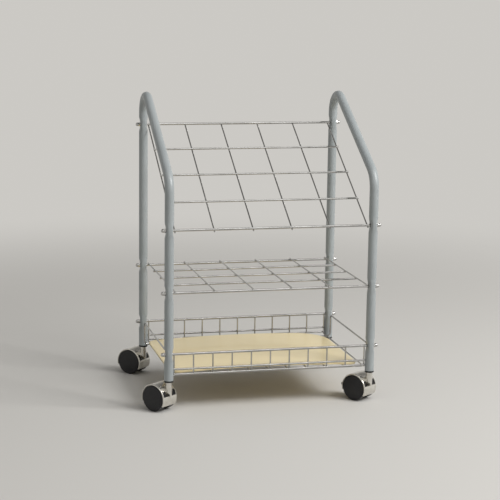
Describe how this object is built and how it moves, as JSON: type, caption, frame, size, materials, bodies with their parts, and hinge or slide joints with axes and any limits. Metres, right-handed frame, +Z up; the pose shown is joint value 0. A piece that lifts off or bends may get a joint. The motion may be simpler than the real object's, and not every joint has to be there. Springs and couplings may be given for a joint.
{
  "type": "wire roll file",
  "caption": "Upright wire file for rolled drawings: bent tube side frames, slanted and level wire grids, a wire basket with a base board, and swivel casters.",
  "frame": {"origin": "floor level, centred between the axes of the four legs", "axes": "+Z up, +X to the right seen from the low front edge of the slanted grid, +Y to the rear"},
  "size_m": [0.4993, 0.3757, 0.6294],
  "materials": {
    "tube_paint": "satin blue-grey paint",
    "wire_chrome": "bright plated wire",
    "nut_chrome": "bright plated",
    "board": "glossy cream coated fibreboard",
    "hood_chrome": "bright plated casting",
    "socket_plastic": "matt black",
    "plain_steel": "turned steel",
    "wheel_plastic": "smooth black nylon",
    "pedal_plastic": "matt black"
  },
  "bodies": {
    "frame": {"left_side_frame": "tube_paint", "right_side_frame": "tube_paint", "upper_grid_main_rods": "wire_chrome", "upper_grid_long_wires": "wire_chrome", "upper_grid_cross_wires": "wire_chrome", "middle_grid_main_rods": "wire_chrome", "middle_grid_long_wires": "wire_chrome", "middle_grid_cross_wires": "wire_chrome", "basket_top_rods": "wire_chrome", "basket_wall_wires": "wire_chrome", "basket_ribs": "wire_chrome", "basket_under_wires": "wire_chrome", "basket_left_loop": "wire_chrome", "basket_right_loop": "wire_chrome", "base_board": "board", "left_cap_nuts": "nut_chrome", "right_cap_nuts": "nut_chrome", "front_left_socket": "socket_plastic", "front_right_socket": "socket_plastic", "rear_left_socket": "socket_plastic", "rear_right_socket": "socket_plastic"},
    "front_left_swivel": {"front_left_stem": "plain_steel", "front_left_hood": "hood_chrome", "front_left_axle": "plain_steel"},
    "front_left_wheel_a": {"front_left_wheel_a": "wheel_plastic"},
    "front_left_wheel_b": {"front_left_wheel_b": "wheel_plastic"},
    "front_right_swivel": {"front_right_stem": "plain_steel", "front_right_hood": "hood_chrome", "front_right_axle": "plain_steel", "front_right_brake_pin": "plain_steel"},
    "front_right_wheel_a": {"front_right_wheel_a": "wheel_plastic"},
    "front_right_wheel_b": {"front_right_wheel_b": "wheel_plastic"},
    "front_right_brake_pedal": {"front_right_brake_pedal": "pedal_plastic"},
    "rear_left_swivel": {"rear_left_stem": "plain_steel", "rear_left_hood": "hood_chrome", "rear_left_axle": "plain_steel"},
    "rear_left_wheel_a": {"rear_left_wheel_a": "wheel_plastic"},
    "rear_left_wheel_b": {"rear_left_wheel_b": "wheel_plastic"},
    "rear_right_swivel": {"rear_right_stem": "plain_steel", "rear_right_hood": "hood_chrome", "rear_right_axle": "plain_steel", "rear_right_brake_pin": "plain_steel"},
    "rear_right_wheel_a": {"rear_right_wheel_a": "wheel_plastic"},
    "rear_right_wheel_b": {"rear_right_wheel_b": "wheel_plastic"},
    "rear_right_brake_pedal": {"rear_right_brake_pedal": "pedal_plastic"}
  },
  "joints": [
    {"name": "front_left_swivel_turn", "type": "hinge", "parent": "frame", "child": "front_left_swivel", "pos_m": [-0.2135, -0.1525, 0.06], "axis": [0, 0, 1], "continuous": true},
    {"name": "front_left_wheel_a_spin", "type": "hinge", "parent": "front_left_swivel", "child": "front_left_wheel_a", "pos_m": [-0.2292, -0.13241, 0.02675], "axis": [-0.788, -0.6157, 0], "continuous": true},
    {"name": "front_left_wheel_b_spin", "type": "hinge", "parent": "front_left_swivel", "child": "front_left_wheel_b", "pos_m": [-0.2292, -0.13241, 0.02675], "axis": [-0.788, -0.6157, 0], "continuous": true},
    {"name": "front_right_swivel_turn", "type": "hinge", "parent": "frame", "child": "front_right_swivel", "pos_m": [0.2135, -0.1525, 0.06], "axis": [0, 0, 1], "continuous": true},
    {"name": "front_right_wheel_a_spin", "type": "hinge", "parent": "front_right_swivel", "child": "front_right_wheel_a", "pos_m": [0.19851, -0.13187, 0.02675], "axis": [-0.809, -0.5878, 0], "continuous": true},
    {"name": "front_right_wheel_b_spin", "type": "hinge", "parent": "front_right_swivel", "child": "front_right_wheel_b", "pos_m": [0.19851, -0.13187, 0.02675], "axis": [-0.809, -0.5878, 0], "continuous": true},
    {"name": "front_right_brake_press", "type": "hinge", "parent": "front_right_swivel", "child": "front_right_brake_pedal", "pos_m": [0.18911, -0.11893, 0.03375], "axis": [-0.809, -0.5878, 0], "range_deg": [0, 12]},
    {"name": "rear_left_swivel_turn", "type": "hinge", "parent": "frame", "child": "rear_left_swivel", "pos_m": [-0.2135, 0.1525, 0.06], "axis": [0, 0, 1], "continuous": true},
    {"name": "rear_left_wheel_a_spin", "type": "hinge", "parent": "rear_left_swivel", "child": "rear_left_wheel_a", "pos_m": [-0.23184, 0.17021, 0.02675], "axis": [-0.6947, -0.7193, 0], "continuous": true},
    {"name": "rear_left_wheel_b_spin", "type": "hinge", "parent": "rear_left_swivel", "child": "rear_left_wheel_b", "pos_m": [-0.23184, 0.17021, 0.02675], "axis": [-0.6947, -0.7193, 0], "continuous": true},
    {"name": "rear_right_swivel_turn", "type": "hinge", "parent": "frame", "child": "rear_right_swivel", "pos_m": [0.2135, 0.1525, 0.06], "axis": [0, 0, 1], "continuous": true},
    {"name": "rear_right_wheel_a_spin", "type": "hinge", "parent": "rear_right_swivel", "child": "rear_right_wheel_a", "pos_m": [0.19677, 0.17175, 0.02675], "axis": [-0.7547, -0.6561, 0], "continuous": true},
    {"name": "rear_right_wheel_b_spin", "type": "hinge", "parent": "rear_right_swivel", "child": "rear_right_wheel_b", "pos_m": [0.19677, 0.17175, 0.02675], "axis": [-0.7547, -0.6561, 0], "continuous": true},
    {"name": "rear_right_brake_press", "type": "hinge", "parent": "rear_right_swivel", "child": "rear_right_brake_pedal", "pos_m": [0.18627, 0.18382, 0.03375], "axis": [-0.7547, -0.6561, 0], "range_deg": [0, 12]}
  ]
}
